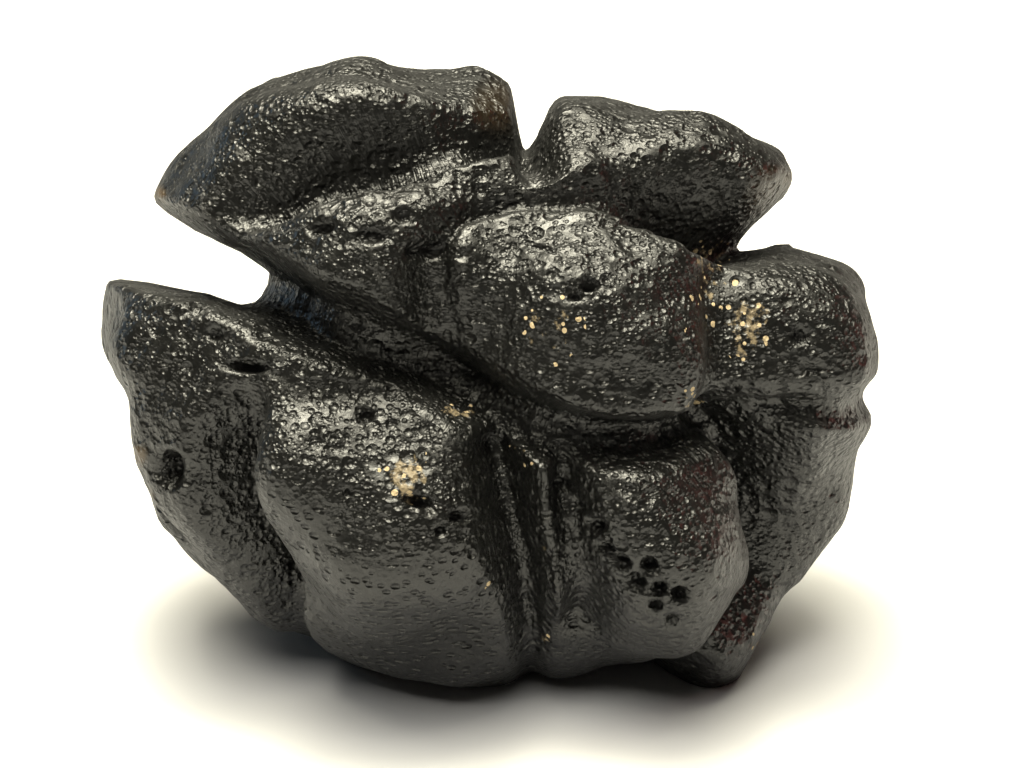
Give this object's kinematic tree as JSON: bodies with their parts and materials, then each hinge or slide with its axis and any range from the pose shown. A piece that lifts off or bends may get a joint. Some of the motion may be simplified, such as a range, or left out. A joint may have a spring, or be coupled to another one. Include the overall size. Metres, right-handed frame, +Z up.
{
  "type": "raw philippinite",
  "caption": "Raw philippinite: a natural lump of black, glossy glass, deeply furrowed into lobes and pitted all over",
  "frame": {"origin": "centre of the bounding box, at the level of the surface that the stone stands on", "axes": "+X along the stone's longest side, to the right in the picture; +Z up as it stands; -Y towards the viewer"},
  "size_m": [0.062, 0.0466, 0.0481],
  "materials": {
    "tektite_glass": "natural black glass as found, glossy under a fine dimpled skin, with bubble pits, flow lines and pale soil in some pits"
  },
  "bodies": {
    "root": {"philippinite": "tektite_glass"}
  },
  "joints": []
}
